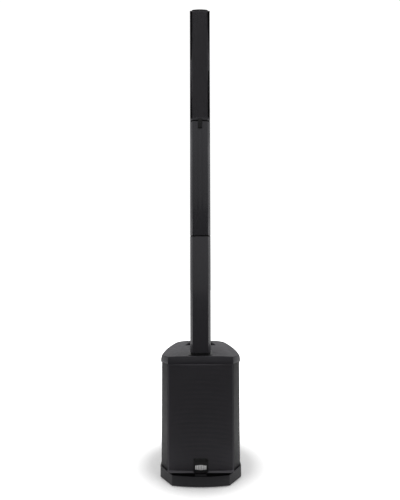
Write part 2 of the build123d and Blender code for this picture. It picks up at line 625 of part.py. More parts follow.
# ---------------------------------------------------------------- control panel on the back
CUT_IEC, CUT_ROCKER = (50, 134), (-26, 134)
COMBO_PLACES = [(62, 262), (24, 262)]
LINE_PLACES = [(-14, 276), (-14, 250)]
XLR_PLACE = (-56, 262)
KNOB_PLACES = {
    "channel_1_knob": (62, 314),
    "channel_2_knob": (24, 314),
    "channel_3_knob": (-14, 314),
    "master_knob": (-56, 314),
}
MENU_PLACE = (-56, 388)
BUTTON_PLACES = {"pair_button": (60, 352), "mute_button": (36, 352), "mode_button": (12, 352)}
DISPLAY_PLACE = (30, 388)
SINK_LOW, SINK_HIGH, SINK_HALF = 164.0, 226.0, 80.0
LED_PLACES = [(-36, 352), (-48, 352), (-60, 352), (-72, 352)]
panel_screw_places = [(sx * 82, z) for sx in (-1, 1) for z in (114, 198, 240, 330, 421)]

with BuildPart() as control_panel:
    add(prism(shell_plan, PAN_LOW, PAN_HIGH))
    add(block(-PAN_HALF, PAN_HALF, PAN_FLOOR - 3, 260, PAN_LOW, PAN_HIGH), mode=Mode.INTERSECT)
    add(block(-PAN_HALF + 3, PAN_HALF - 3, PAN_FLOOR, 260, PAN_LOW + 3, PAN_HIGH - 3), mode=Mode.SUBTRACT)
    with BuildSketch(FRONT_PLANE.offset(-PAN_FLOOR - 5)):
        with Locations(CUT_IEC):
            Rectangle(47.6, 27.6)
        with Locations(CUT_ROCKER):
            Rectangle(22.6, 28.6)
        with Locations(*COMBO_PLACES, XLR_PLACE):
            Circle(12.3)
        with Locations(*LINE_PLACES):
            Circle(5)
        with Locations(*KNOB_PLACES.values(), MENU_PLACE):
            Circle(3.6)
        with Locations(*BUTTON_PLACES.values()):
            Rectangle(14.6, 8.6)
        with Locations(DISPLAY_PLACE):
            Rectangle(64, 38)
        with Locations((0, (SINK_LOW + SINK_HIGH) / 2)):
            Rectangle(2 * SINK_HALF - 6, SINK_HIGH - SINK_LOW - 6)
        with Locations(*LED_PLACES):
            Circle(1.7)
        with Locations(*panel_screw_places):
            Circle(1.6)
    extrude(amount=10, mode=Mode.SUBTRACT)
keep(control_panel, "control_panel")

with BuildPart() as heat_sink:
    add(block(-SINK_HALF + 4, SINK_HALF - 4, 186, PAN_FLOOR + 0.4, SINK_LOW + 4, SINK_HIGH - 4))
    fin_count = 19
    for n in range(fin_count):
        x = (n - (fin_count - 1) / 2) * 8
        add(block(x - 1.1, x + 1.1, PAN_FLOOR, PAN_FLOOR + 17, SINK_LOW + 4, SINK_HIGH - 4))
keep(heat_sink, "heat_sink")

with BuildPart() as amplifier_board:
    add(block(-78, 78, 166, 167.8, 236, 420))
    chips = ((-50, 330, 18, 26, 24), (-20, 380, 30, 12, 16), (30, 300, 24, 24, 12), (50, 360, 14, 40, 20))
    for x, z, w, h, d in chips:
        add(block(x - w / 2, x + w / 2, 166 - d, 166, z - h / 2, z + h / 2))
    with BuildSketch(FRONT_PLANE.offset(-166)):
        with Locations((-60, 270), (-36, 270), (0, 262), (20, 262), (0, 405), (60, 405)):
            Circle(9)
    extrude(amount=26)
keep(amplifier_board, "amplifier_board")

with BuildPart() as power_supply:
    add(block(-70, 70, 120, 123, 40, 140))
    with BuildSketch(FRONT_PLANE.offset(-120)):
        with Locations((-25, 92)):
            Circle(40)
    extrude(amount=46)
    fillet(power_supply.edges().filter_by(GeomType.CIRCLE).group_by(Axis.Y)[0], 10)
    with BuildSketch(FRONT_PLANE.offset(-119)):
        with Locations((35, 65), (35, 95), (35, 125)):
            Circle(12)
    extrude(amount=36)
keep(power_supply, "power_supply")

with BuildPart() as mains_inlet:
    with BuildSketch(FRONT_PLANE.offset(-PAN_FLOOR - 0.1)):
        with Locations(CUT_IEC):
            RectangleRounded(58, 33, 4)
    extrude(amount=-3)
    with BuildSketch(FRONT_PLANE.offset(-PAN_FLOOR - 0.1)):
        with Locations(CUT_IEC):
            Rectangle(47, 27)
    extrude(amount=24)
    with BuildSketch(FRONT_PLANE.offset(-PAN_FLOOR - 4)):
        with Locations(CUT_IEC):
            Polygon((-12, -8), (12, -8), (12, 3), (7, 8), (-7, 8), (-12, 3), align=None)
    extrude(amount=21, mode=Mode.SUBTRACT)
    for dx, dz in ((-7, -2.5), (7, -2.5), (0, 2.5)):
        x, z = CUT_IEC[0] + dx, CUT_IEC[1] + dz
        add(block(x - 1, x + 1, 182, 199, z - 2, z + 2))
keep(mains_inlet, "mains_inlet")

ROCKER_PIVOT_Y = 197.0
with BuildPart() as switch_frame:
    with BuildSketch(FRONT_PLANE.offset(-PAN_FLOOR - 0.1)):
        with Locations(CUT_ROCKER):
            RectangleRounded(26, 33, 2)
    extrude(amount=-2.5)
    with BuildSketch(FRONT_PLANE.offset(-PAN_FLOOR - 2.6)):
        with Locations(CUT_ROCKER):
            Rectangle(22, 28)
    extrude(amount=20)
    with BuildSketch(FRONT_PLANE.offset(-PAN_FLOOR - 3)):
        with Locations(CUT_ROCKER):
            Rectangle(18, 25)
    extrude(amount=16, mode=Mode.SUBTRACT)
    with Locations(Location((CUT_ROCKER[0], ROCKER_PIVOT_Y, CUT_ROCKER[1]), (0, 90, 0))):
        Cylinder(1.65, 21.2, mode=Mode.SUBTRACT)
keep(switch_frame, "switch_frame")

with BuildPart() as power_rocker:
    with BuildSketch(Plane.YZ.offset(CUT_ROCKER[0] - 8.7)):
        with Locations((0, CUT_ROCKER[1])):
            Polygon((ROCKER_PIVOT_Y - 5, -4), (ROCKER_PIVOT_Y, -10.6), (205.2, -10.8), (202.9, 0.5),
                    (203.6, 10.8), (ROCKER_PIVOT_Y, 10.6), (ROCKER_PIVOT_Y - 5, 4), align=None)
    extrude(amount=17.4)
    with Locations(Location((CUT_ROCKER[0], ROCKER_PIVOT_Y, CUT_ROCKER[1]), (0, 90, 0))):
        Cylinder(1.6, 20.6)
keep(power_rocker, "power_rocker")

with BuildPart() as combo_jacks:
    with BuildSketch(FRONT_PLANE.offset(-PAN_FLOOR - 0.1)):
        with Locations(*COMBO_PLACES):
            RectangleRounded(26, 31, 3)
    extrude(amount=-2.4)
    with BuildSketch(FRONT_PLANE.offset(-PAN_FLOOR - 2.5)):
        with Locations(*COMBO_PLACES):
            Circle(12)
    extrude(amount=26)
    with BuildSketch(FRONT_PLANE.offset(-PAN_FLOOR - 3)):
        with Locations(*COMBO_PLACES):
            Circle(9.6)
            Circle(6.6, mode=Mode.SUBTRACT)
    extrude(amount=9, mode=Mode.SUBTRACT)
    with BuildSketch(FRONT_PLANE.offset(-PAN_FLOOR - 3)):
        with Locations(*COMBO_PLACES):
            Circle(3.3)
    extrude(amount=23, mode=Mode.SUBTRACT)
keep(combo_jacks, "combo_jacks")

with BuildPart() as line_jacks:
    with BuildSketch(FRONT_PLANE.offset(-PAN_FLOOR - 0.1)):
        with Locations(*LINE_PLACES):
            RegularPolygon(6.6, 6)
    extrude(amount=-2.6)
    with BuildSketch(FRONT_PLANE.offset(-PAN_FLOOR - 4)):
        with Locations(*LINE_PLACES):
            Circle(4.8)
    extrude(amount=24)
    with BuildSketch(FRONT_PLANE.offset(-PAN_FLOOR - 5)):
        with Locations(*LINE_PLACES):
            Circle(3.3)
    extrude(amount=22, mode=Mode.SUBTRACT)
keep(line_jacks, "line_jacks")

with BuildPart() as xlr_output:
    with BuildSketch(FRONT_PLANE.offset(-PAN_FLOOR - 0.1)):
        with Locations(XLR_PLACE):
            RectangleRounded(26, 31, 3)
    extrude(amount=-2.4)
    with BuildSketch(FRONT_PLANE.offset(-PAN_FLOOR - 2.5)):
        with Locations(XLR_PLACE):
            Circle(12)
    extrude(amount=24)
    with BuildSketch(FRONT_PLANE.offset(-PAN_FLOOR - 3)):
        with Locations(XLR_PLACE):
            Circle(9.5)
    extrude(amount=20, mode=Mode.SUBTRACT)
    with BuildSketch(FRONT_PLANE.offset(-182)):
        with Locations(XLR_PLACE):
            with PolarLocations(4.6, 3, start_angle=-90):
                Circle(1.2)
    extrude(amount=-16)
keep(xlr_output, "xlr_output")


def knob(name, place, radius, height):
    """A turned knob with grip flutes, a pointer slot and a shaft through the panel."""
    with BuildPart() as body:
        with BuildSketch(FRONT_PLANE.offset(-PAN_FLOOR - 0.8)):
            with Locations(place):
                Circle(radius)
                with PolarLocations(radius + 0.5, 12, start_angle=15):
                    Circle(1.3, mode=Mode.SUBTRACT)
        extrude(amount=-height)
        with BuildSketch(FRONT_PLANE.offset(-PAN_FLOOR - 0.8)):
            with Locations(place):
                Circle(radius + 1.6)
        extrude(amount=-2.2)
        with BuildSketch(FRONT_PLANE.offset(-PAN_FLOOR - 0.8 - height)):
            with Locations((place[0], place[1] + radius * 0.6)):
                Rectangle(1.4, radius * 0.8 + 0.4)
        extrude(amount=0.8, mode=Mode.SUBTRACT)
        with BuildSketch(FRONT_PLANE.offset(-PAN_FLOOR - 1)):
            with Locations(place):
                Circle(3)
        extrude(amount=16)
    keep(body, name)


for knob_name, knob_place in KNOB_PLACES.items():
    knob(knob_name, knob_place, 8.0, 13.0)
knob("menu_knob", MENU_PLACE, 12.5, 15.0)

for button_name, button_place in BUTTON_PLACES.items():
    with BuildPart() as button:
        with BuildSketch(FRONT_PLANE.offset(-PAN_FLOOR + 8)):
            with Locations(button_place):
                RectangleRounded(13.8, 7.8, 1.2)
        extrude(amount=-10.8)
        chamfer(button.faces().sort_by(Axis.Y)[-1].edges(), 0.6)
    keep(button, button_name)

with BuildPart() as display_window:
    with BuildSketch(FRONT_PLANE.offset(-PAN_FLOOR - 1)):
        with Locations(DISPLAY_PLACE):
            RectangleRounded(63.4, 37.4, 2)
    extrude(amount=5)
keep(display_window, "display_window")

with BuildPart() as status_leds:
    with BuildSketch(FRONT_PLANE.offset(-PAN_FLOOR + 5)):
        with Locations(*LED_PLACES):
            Circle(1.5)
    extrude(amount=-6)
    fillet(status_leds.faces().group_by(Axis.Y)[-1].edges(), 1)
keep(status_leds, "status_leds")

with BuildPart() as panel_screws:
    with BuildSketch(FRONT_PLANE.offset(-PAN_FLOOR - 0.1)):
        with Locations(*panel_screw_places):
            Circle(3)
    extrude(amount=-1.8)
    with BuildSketch(FRONT_PLANE.offset(-PAN_FLOOR - 0.1)):
        with Locations(*panel_screw_places):
            Circle(1.4)
    extrude(amount=9)
    with BuildSketch(FRONT_PLANE.offset(-PAN_FLOOR - 1)):
        with Locations(*panel_screw_places):
            Rectangle(3.6, 0.8)
            Rectangle(0.8, 3.6)
    extrude(amount=-2, mode=Mode.SUBTRACT)
keep(panel_screws, "panel_screws")
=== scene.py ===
"""Finishes a column loudspeaker system: a base with a mixer on its back, two spacers and a slim array.

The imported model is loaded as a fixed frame. Each operator below finishes one piece or a group of like pieces.
"""

import json
from math import atan2, pi, radians, sqrt

import bpy
from mathutils import Matrix, Vector


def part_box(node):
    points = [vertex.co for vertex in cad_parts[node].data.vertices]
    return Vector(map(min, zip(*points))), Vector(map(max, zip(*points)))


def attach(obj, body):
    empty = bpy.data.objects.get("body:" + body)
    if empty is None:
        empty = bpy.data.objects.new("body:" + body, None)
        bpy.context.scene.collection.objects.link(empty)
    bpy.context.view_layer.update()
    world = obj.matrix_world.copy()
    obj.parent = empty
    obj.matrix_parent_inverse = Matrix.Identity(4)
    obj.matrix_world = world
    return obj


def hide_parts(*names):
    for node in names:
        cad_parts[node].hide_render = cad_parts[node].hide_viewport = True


bl_info = {
    "name": "Column loudspeaker finish",
    "version": (1, 0, 0),
    "blender": (4, 5, 0),
    "location": "View3D > Sidebar > Loudspeaker",
    "description": "Builds the finished pieces of a column loudspeaker on its frame",
    "category": "Object",
}

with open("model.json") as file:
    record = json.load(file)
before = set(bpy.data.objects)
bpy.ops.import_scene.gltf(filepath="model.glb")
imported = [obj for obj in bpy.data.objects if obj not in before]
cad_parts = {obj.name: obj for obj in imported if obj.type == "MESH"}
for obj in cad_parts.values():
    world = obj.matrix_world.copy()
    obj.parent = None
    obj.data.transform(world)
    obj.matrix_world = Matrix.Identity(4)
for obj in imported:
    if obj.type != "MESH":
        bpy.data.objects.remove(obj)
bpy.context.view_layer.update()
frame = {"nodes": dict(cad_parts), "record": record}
NODES = frame["nodes"]
BODY_OF = {node: body for body, nodes in frame["record"]["behaviour"]["bodies"].items() for node in nodes}
PANEL_FACE = 0.2        # outer face of the control panel, where its marks lie


# ---------------------------------------------------------------- materials
def node_of(tree, kind, **values):
    """Adds a shader node and sets its inputs and settings by name."""
    node = tree.nodes.new(kind)
    for key, value in values.items():
        name = key.replace("_", " ")
        if name in node.inputs:
            node.inputs[name].default_value = value
        else:
            setattr(node, key, value)
    return node


def graded(colour, factor):
    """A colour made lighter or darker, with full alpha."""
    return tuple(min(1.0, c * factor) for c in colour[:3]) + (1.0,)


def surface(name, colour, roughness, grain=900.0, bump=0.00005, mottle=0.14, metallic=0.0, uneven=0.07,
            coat=0.0,
            stretch=(1, 1, 1), scuffs=0.0, specular=0.32, sheen=0.0):
    """A procedural finish: fine grain in the bump, slow colour change, uneven gloss and a few light scuffs.

    grain is in cycles a metre and bump in metres. stretch squeezes the grain along an axis, as brushing does.
    """
    existing = bpy.data.materials.get(name)
    if existing:
        return existing
    material = bpy.data.materials.new(name)
    material.use_nodes = True
    tree = material.node_tree
    shader = tree.nodes["Principled BSDF"]
    shader.inputs["Metallic"].default_value = metallic
    shader.inputs["Specular IOR Level"].default_value = specular
    shader.inputs["Coat Weight"].default_value = coat
    shader.inputs["Coat Roughness"].default_value = 0.12
    shader.inputs["Sheen Weight"].default_value = sheen
    place = tree.nodes.new("ShaderNodeTexCoord")
    squeeze = node_of(tree, "ShaderNodeMapping", Scale=stretch)
    tree.links.new(place.outputs["Object"], squeeze.inputs["Vector"])
    fine = node_of(tree, "ShaderNodeTexNoise", Scale=grain, Detail=3.0, Roughness=0.6)
    slow = node_of(tree, "ShaderNodeTexNoise", Scale=9.0, Detail=4.0, Roughness=0.55)
    patch = node_of(tree, "ShaderNodeTexNoise", Scale=45.0, Detail=5.0, Roughness=0.7, Distortion=0.4)
    tree.links.new(squeeze.outputs["Vector"], fine.inputs["Vector"])
    tree.links.new(place.outputs["Object"], slow.inputs["Vector"])
    tree.links.new(place.outputs["Object"], patch.inputs["Vector"])
    tone = node_of(tree, "ShaderNodeMix", data_type="RGBA")
    tone.inputs[6].default_value = graded(colour, 1 - mottle)
    tone.inputs[7].default_value = graded(colour, 1 + mottle)
    tree.links.new(slow.outputs["Fac"], tone.inputs[0])
    speck = node_of(tree, "ShaderNodeMapRange", From_Min=0.35, From_Max=0.65, To_Min=1 - mottle,
                    To_Max=1 + mottle)
    tree.links.new(fine.outputs["Fac"], speck.inputs["Value"])
    shade = node_of(tree, "ShaderNodeMix", data_type="RGBA", blend_type="MULTIPLY")
    shade.inputs[0].default_value = 1.0
    tree.links.new(tone.outputs[2], shade.inputs[6])
    tree.links.new(speck.outputs["Result"], shade.inputs[7])
    base = shade.outputs[2]
    if scuffs:
        rub = node_of(tree, "ShaderNodeTexNoise", Scale=70.0, Detail=8.0, Roughness=0.75)
        line = node_of(tree, "ShaderNodeMapping", Scale=(1, 1, 0.18), Rotation=(0.3, 0.6, 0.2))
        tree.links.new(place.outputs["Object"], line.inputs["Vector"])
        tree.links.new(line.outputs["Vector"], rub.inputs["Vector"])
        mark = node_of(tree, "ShaderNodeMapRange", From_Min=0.66, From_Max=0.8, To_Min=0.0, To_Max=scuffs)
        tree.links.new(rub.outputs["Fac"], mark.inputs["Value"])
        worn = node_of(tree, "ShaderNodeMix", data_type="RGBA")
        worn.inputs[7].default_value = graded(colour, 2.6)
        tree.links.new(mark.outputs["Result"], worn.inputs[0])
        tree.links.new(base, worn.inputs[6])
        base = worn.outputs[2]
    tree.links.new(base, shader.inputs["Base Color"])
    gloss = node_of(tree, "ShaderNodeMapRange", From_Min=0.3, From_Max=0.7, To_Min=roughness - uneven,
                    To_Max=roughness + uneven)
    tree.links.new(patch.outputs["Fac"], gloss.inputs["Value"])
    tree.links.new(gloss.outputs["Result"], shader.inputs["Roughness"])
    if bump:
        relief = node_of(tree, "ShaderNodeBump", Strength=0.6, Distance=bump)
        tree.links.new(fine.outputs["Fac"], relief.inputs["Height"])
        tree.links.new(relief.outputs["Normal"], shader.inputs["Normal"])
    return material


def glowing(name, colour, strength):
    """A lit lens or display segment, a little brighter in its middle grain."""
    material = surface(name, colour, 0.35, grain=400.0, bump=0.0)
    shader = material.node_tree.nodes["Principled BSDF"]
    shader.inputs["Emission Color"].default_value = graded(colour, 1.0)
    shader.inputs["Emission Strength"].default_value = strength
    return material


def tinted_glass(name, colour):
    """A smoked clear window with a faint moulding ripple."""
    material = surface(name, colour, 0.08, grain=120.0, bump=0.00002, uneven=0.03)
    shader = material.node_tree.nodes["Principled BSDF"]
    shader.inputs["Transmission Weight"].default_value = 0.9
    shader.inputs["IOR"].default_value = 1.49
    return material


def shell_finish():
    return surface("moulded_black", props().casing_colour, 0.5, grain=1100.0, bump=0.00007, scuffs=0.05,
                   specular=0.26)


def cap_finish():
    return surface("cap_moulding", props().cap_colour, 0.46, grain=1000.0, bump=0.00007, scuffs=0.08)


def plinth_finish():
    return surface("plinth_moulding", props().plinth_colour, 0.5, grain=1100.0, bump=0.00007, scuffs=0.08)


def column_finish():
    return surface("column_powder_coat", props().column_colour, 0.36, grain=1700.0, bump=0.00004,
                   mottle=0.1, coat=0.3)


def grille_finish():
    return surface("grille_powder_coat", props().grille_colour, 0.5, grain=1500.0, bump=0.00003, mottle=0.1)


def trim_finish():
    return surface("satin_black_trim", (0.012, 0.012, 0.013), 0.3, grain=1400.0, bump=0.00002)


def dark_finish():
    return surface("shadow_black", (0.006, 0.006, 0.007), 0.75, grain=900.0, bump=0.00005)


def steel_finish():
    return surface("black_oxide_steel", (0.022, 0.022, 0.023), 0.42, grain=1300.0, bump=0.00002, metallic=1.0)


def bright_finish():
    return surface("nickel_plate", (0.72, 0.7, 0.66), 0.24, grain=800.0, bump=0.00001, metallic=1.0,
                   mottle=0.06)


def brass_finish():
    return surface("gold_plated_contact", (0.83, 0.6, 0.25), 0.25, grain=900.0, bump=0.00001, metallic=1.0,
                   mottle=0.08)


def board_finish():
    return surface("birch_board", (0.42, 0.29, 0.16), 0.6, grain=260.0, bump=0.0001, mottle=0.25,
                   stretch=(1, 1, 0.05))


def black_board_finish():
    return surface("painted_board", (0.012, 0.012, 0.012), 0.65, grain=320.0, bump=0.00012, mottle=0.2,
                   stretch=(1, 1, 0.1))


def rubber_finish():
    return surface("black_rubber", (0.014, 0.014, 0.014), 0.7, grain=900.0, bump=0.00005)


def knob_finish():
    return surface("soft_touch_knob", (0.016, 0.016, 0.017), 0.55, grain=1500.0, bump=0.00003)


def white_finish():
    return surface("white_mark", (0.86, 0.86, 0.86), 0.42, grain=900.0, bump=0.00002, mottle=0.03)


# ---------------------------------------------------------------- working on a mesh
def props():
    return bpy.context.scene.loudspeaker


def only(obj):
    """Selects one object and makes it active."""
    if bpy.context.object and bpy.context.object.mode != "OBJECT":
        bpy.ops.object.mode_set(mode="OBJECT")
    bpy.ops.object.select_all(action="DESELECT")
    obj.hide_set(False)
    obj.select_set(True)
    bpy.context.view_layer.objects.active = obj
    return obj


def settle(obj):
    """Puts the object's place into its mesh."""
    only(obj)
    bpy.ops.object.transform_apply(location=True, rotation=True, scale=True)
    return obj


def modify(obj, kind, **values):
    """Adds a modifier and applies it."""
    only(obj)
    modifier = obj.modifiers.new(kind.lower(), kind)
    for key, value in values.items():
        setattr(modifier, key, value)
    bpy.ops.object.modifier_apply(modifier=modifier.name)
    return obj


def edit(obj):
    """Enters edit mode with nothing selected."""
    only(obj)
    bpy.ops.object.mode_set(mode="EDIT")
    bpy.ops.mesh.select_all(action="DESELECT")


def leave():
    bpy.ops.object.mode_set(mode="OBJECT")


def pick(obj, test, kind="FACE"):
    """Selects the faces, edges or vertices whose middle passes a test, from object mode or edit mode."""
    bpy.ops.object.mode_set(mode="OBJECT")
    mesh = obj.data
    for part in (mesh.polygons, mesh.edges, mesh.vertices):
        part.foreach_set("select", [False] * len(part))
    if kind == "FACE":
        for face in mesh.polygons:
            face.select = bool(test(face.center, face.normal))
    elif kind == "EDGE":
        for edge in mesh.edges:
            a, b = (mesh.vertices[v].co for v in edge.vertices)
            edge.select = bool(test((a + b) / 2, (b - a)))
    else:
        for vertex in mesh.vertices:
            vertex.select = bool(test(vertex.co, vertex.normal))
    bpy.ops.object.mode_set(mode="EDIT")
    bpy.ops.mesh.select_mode(type=kind if kind != "VERTEX" else "VERT")


def soften(obj, width, segments=2, angle=32):
    """Rounds the hard edges and shades the rest smooth."""
    if width:
        modify(obj, "BEVEL", width=width, segments=segments, limit_method="ANGLE", angle_limit=radians(angle),
               use_clamp_overlap=True, harden_normals=False)
    only(obj)
    bpy.ops.object.shade_smooth_by_angle(angle=radians(38))
    return obj


def painted(obj, material):
    obj.data.materials.clear()
    obj.data.materials.append(material)
    return obj


def touch_up(obj, material, test):
    """Gives a second finish to the faces that pass a test."""
    index = len(obj.data.materials)
    obj.data.materials.append(material)
    for face in obj.data.polygons:
        if test(face.center, face.normal):
            face.material_index = index
    return obj


def mount(obj, body, *nodes):
    """The piece rides on a body and stands for the nodes."""
    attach(obj, body)
    if nodes:
        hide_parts(*nodes)
    return obj


def dressed(node, material, bevel=0.0005, segments=2):
    """A merged copy of a node's shape with its edges softened, in the given finish."""
    source = NODES[node]
    piece = bpy.data.objects.new(node + "_finished", source.data.copy())
    bpy.context.scene.collection.objects.link(piece)
    edit(piece)
    bpy.ops.mesh.select_all(action="SELECT")
    bpy.ops.mesh.remove_doubles(threshold=0.000001)
    bpy.ops.mesh.dissolve_limited(angle_limit=radians(0.6))
    leave()
    soften(piece, bevel, segments)
    painted(piece, material)
    return mount(piece, BODY_OF[node], node)


def join(name, pieces):
    """Joins objects into one with a name."""
    only(pieces[0])
    for piece in pieces:
        piece.select_set(True)
    bpy.ops.object.join()
    pieces[0].name = name
    return pieces[0]


def copy_of(obj, name, offset):
    """A copy with its own mesh, moved by offset."""
    piece = obj.copy()
    piece.data = obj.data.copy()
    piece.name = name
    piece.data.transform(Matrix.Translation(offset))
    bpy.context.scene.collection.objects.link(piece)
    return piece


def rod(name, radius, back, front, middle, vertices=32):
    """A cylinder along the front-to-back axis between two depths."""
    only_none()
    bpy.ops.mesh.primitive_cylinder_add(vertices=vertices, radius=radius, depth=front - back,
                                        rotation=(radians(-90), 0, 0),
                                        location=(middle.x, (back + front) / 2, middle.z))
    piece = bpy.context.object
    piece.name = name
    return settle(piece)


def bar(name, size, middle):
    """A block of a size about a middle."""
    only_none()
    bpy.ops.mesh.primitive_cube_add(size=1, location=middle)
    piece = bpy.context.object
    piece.name = name
    piece.scale = size
    return settle(piece)


# ---------------------------------------------------------------- perforated sheets
def honeycomb(name, low, high, y, pitch, bar):
    """A flat sheet of hexagonal holes between two corners."""
    row = pitch * sqrt(3) / 2
    columns = int((high.x - low.x) / pitch) + 3
    rows = int((high.z - low.z) / (2 * row)) + 2
    only_none()
    bpy.ops.mesh.primitive_circle_add(vertices=6, radius=pitch / sqrt(3), fill_type="NGON",
                                      location=(0, 0, 0),
                                      rotation=(radians(90), 0, 0))
    sheet = bpy.context.object
    sheet.name = name
    settle(sheet)
    edit(sheet)
    bpy.ops.mesh.select_all(action="SELECT")
    bpy.ops.transform.rotate(value=radians(30), orient_axis="Y", center_override=(0, 0, 0))
    leave()
    width = max(v.co.x for v in sheet.data.vertices) - min(v.co.x for v in sheet.data.vertices)
    if width > pitch * 1.05:
        edit(sheet)
        bpy.ops.mesh.select_all(action="SELECT")
        bpy.ops.transform.rotate(value=radians(30), orient_axis="Y", center_override=(0, 0, 0))
        leave()
    edit(sheet)
    bpy.ops.mesh.select_all(action="SELECT")
    bpy.ops.mesh.inset(thickness=bar / 2, depth=0)
    bpy.ops.mesh.delete(type="FACE")
    bpy.ops.mesh.select_all(action="SELECT")
    bpy.ops.mesh.duplicate_move(TRANSFORM_OT_translate={"value": (pitch / 2, 0, row)})
    leave()
    modify(sheet, "ARRAY", count=columns, use_relative_offset=False, use_constant_offset=True,
           constant_offset_displace=(pitch, 0, 0))
    modify(sheet, "ARRAY", count=rows, use_relative_offset=False, use_constant_offset=True,
           constant_offset_displace=(0, 0, 2 * row))
    middle = (low + high) / 2
    span = Vector(((columns - 0.5) * pitch, 0, (2 * rows - 1) * row))
    sheet.location = (middle.x - span.x / 2, y, middle.z - span.z / 2)
    settle(sheet)
    edit(sheet)
    bpy.ops.mesh.select_all(action="SELECT")
    bpy.ops.mesh.remove_doubles(threshold=pitch / 40)
    for corner, side in ((low, -1), (high, 1)):
        for axis in ((1, 0, 0), (0, 0, 1)):
            bpy.ops.mesh.select_all(action="SELECT")
            bpy.ops.mesh.bisect(plane_co=(corner.x, y, corner.z), plane_no=Vector(axis) * side,
                                clear_outer=True)
    leave()
    return sheet


def only_none():
    if bpy.context.object and bpy.context.object.mode != "OBJECT":
        bpy.ops.object.mode_set(mode="OBJECT")
    bpy.ops.object.select_all(action="DESELECT")


def drape(sheet, target):
    """Projects a flat sheet backwards onto the front of a node."""
    edit(sheet)
    bpy.ops.mesh.select_all(action="SELECT")
    bpy.ops.mesh.normals_make_consistent(inside=False)
    leave()
    if sum(face.normal.y for face in sheet.data.polygons) > 0:
        edit(sheet)
        bpy.ops.mesh.select_all(action="SELECT")
        bpy.ops.mesh.flip_normals()
        leave()
    modify(sheet, "SHRINKWRAP", target=NODES[target], wrap_method="PROJECT", use_project_x=False,
           use_project_y=True,
           use_project_z=False, use_positive_direction=True, use_negative_direction=False)
    return sheet


def backing(name, low, high, y, target, depth, steps, fold=None):
    """The thin black cloth behind a perforated sheet, which hides what is inside."""
    middle = (low + high) / 2
    only_none()
    bpy.ops.mesh.primitive_grid_add(x_subdivisions=steps, y_subdivisions=2, size=1,
                                    location=(middle.x, y, middle.z),
                                    rotation=(radians(90), 0, 0))
    cloth = bpy.context.object
    cloth.name = name
    cloth.scale = (high.x - low.x, high.z - low.z, 1)
    settle(cloth)
    if fold:
        fold_lines(cloth, fold)
    drape(cloth, target)
    cloth.location.y = depth
    settle(cloth)
    modify(cloth, "SOLIDIFY", thickness=0.0003, offset=-1.0)
    return painted(cloth, surface("acoustic_cloth", (0.007, 0.007, 0.0075), 0.95, grain=2200.0,
                                  bump=0.00006, specular=0.1))


def fold_lines(sheet, fold):
    """Cuts a sheet along its two folds."""
    edit(sheet)
    for side in (-1, 1):
        bpy.ops.mesh.select_all(action="SELECT")
        bpy.ops.mesh.bisect(plane_co=(side * fold, 0, 0), plane_no=(1, 0, 0))
    leave()


def draw_in_wings(sheet, fold, ratio):
    """Narrows the wings outside the folds, so that their holes are even once the wings lie on the slopes."""
    for side in (-1, 1):
        pick(sheet, lambda c, n: c.x * side > fold + 0.00001, "VERTEX")
        bpy.ops.transform.resize(value=(ratio, 1, 1), center_override=(side * fold, 0, 0))
        leave()


def grille_rim(name, low, high, margin, y, back, target, thickness, steps, fold=None):
    """The plain border of a pressed grille, with its edges turned back; folded ones keep plain sides."""
    middle = (low + high) / 2
    only_none()
    bpy.ops.mesh.primitive_grid_add(x_subdivisions=steps, y_subdivisions=1, size=1,
                                    location=(middle.x, y, middle.z),
                                    rotation=(radians(90), 0, 0))
    rim = bpy.context.object
    rim.name = name
    rim.scale = (high.x - low.x, high.z - low.z, 1)
    settle(rim)
    edit(rim)
    for corner, side in ((low, 1), (high, -1)):
        bpy.ops.mesh.select_all(action="SELECT")
        bpy.ops.mesh.bisect(plane_co=(corner.x + side * margin, y, middle.z), plane_no=(1, 0, 0))
        bpy.ops.mesh.select_all(action="SELECT")
        bpy.ops.mesh.bisect(plane_co=(middle.x, y, corner.z + side * margin), plane_no=(0, 0, 1))
    leave()
    if fold:
        fold_lines(rim, fold)
    pick(rim, lambda c, n: abs(c.x - middle.x) < (high.x - low.x) / 2 - margin
         and abs(c.z - middle.z) < (high.z - low.z) / 2 - margin)
    bpy.ops.mesh.delete(type="FACE")
    leave()
    drape(rim, target)
    pick(rim, lambda c, d: not fold and min(c.x - low.x, high.x - c.x) < 0.0001
         or min(c.z - low.z, high.z - c.z) < 0.0001, "EDGE")
    bpy.ops.mesh.extrude_edges_move(TRANSFORM_OT_translate={"value": (0, 0.001, 0)})
    bpy.ops.transform.resize(value=(1, 0, 1), center_override=(middle.x, back, middle.z))
    leave()
    modify(rim, "SOLIDIFY", thickness=thickness, offset=-1.0)
    return soften(rim, thickness * 0.45, 2)


